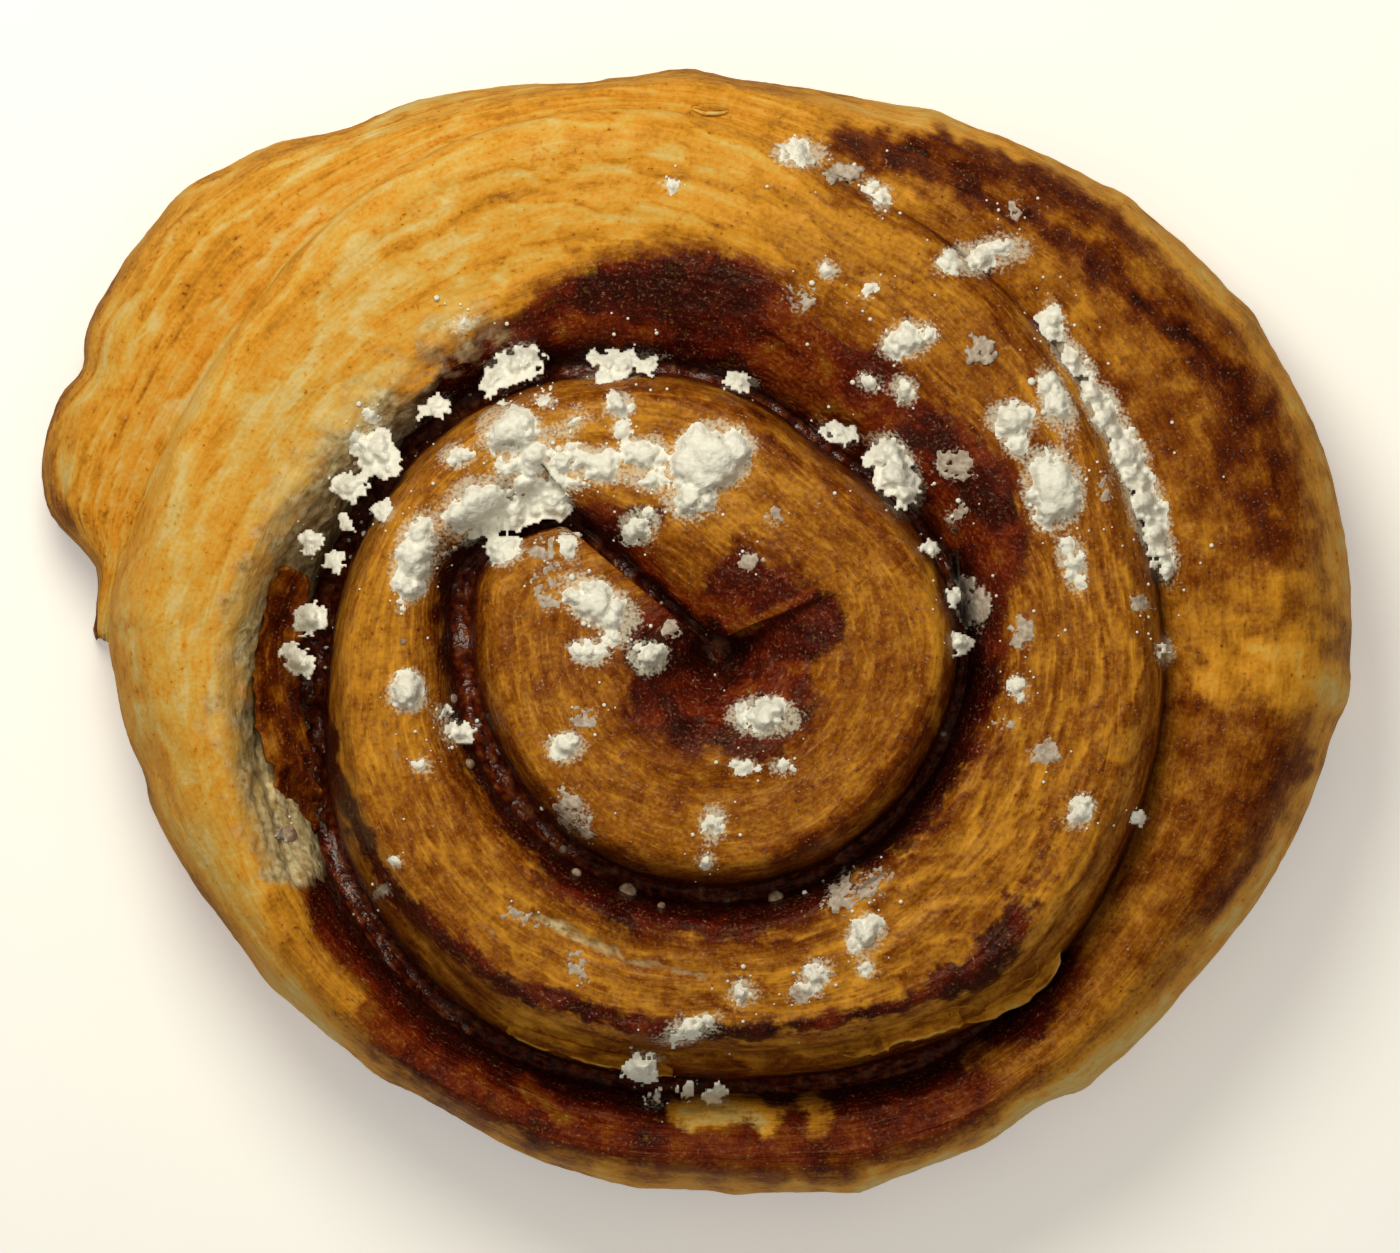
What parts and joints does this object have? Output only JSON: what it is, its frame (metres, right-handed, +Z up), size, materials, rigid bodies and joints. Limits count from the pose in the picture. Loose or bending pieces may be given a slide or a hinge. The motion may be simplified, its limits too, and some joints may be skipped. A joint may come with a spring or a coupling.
{
  "type": "cinnamon roll",
  "caption": "Spiral cinnamon roll of browned laminated dough with dark cinnamon filling between its turns, a raised centre, a loose tail end and lumps of icing sugar.",
  "frame": {"origin": "centre of the roll's outline, on the surface it rests on", "axes": "+Z up out of the spiral face, +X along the roll's longest way across with the tail end at -X, +Y the back edge"},
  "size_m": [0.1206, 0.1028, 0.0353],
  "materials": {
    "baked_dough": "egg-washed baked crust, satin",
    "cinnamon_filling": "sticky dark syrup, glossy",
    "icing_sugar": "powdery white sugar lumps, matt"
  },
  "bodies": {
    "root": {"dough": "baked_dough", "cinnamon_filling": "cinnamon_filling"}
  },
  "joints": []
}
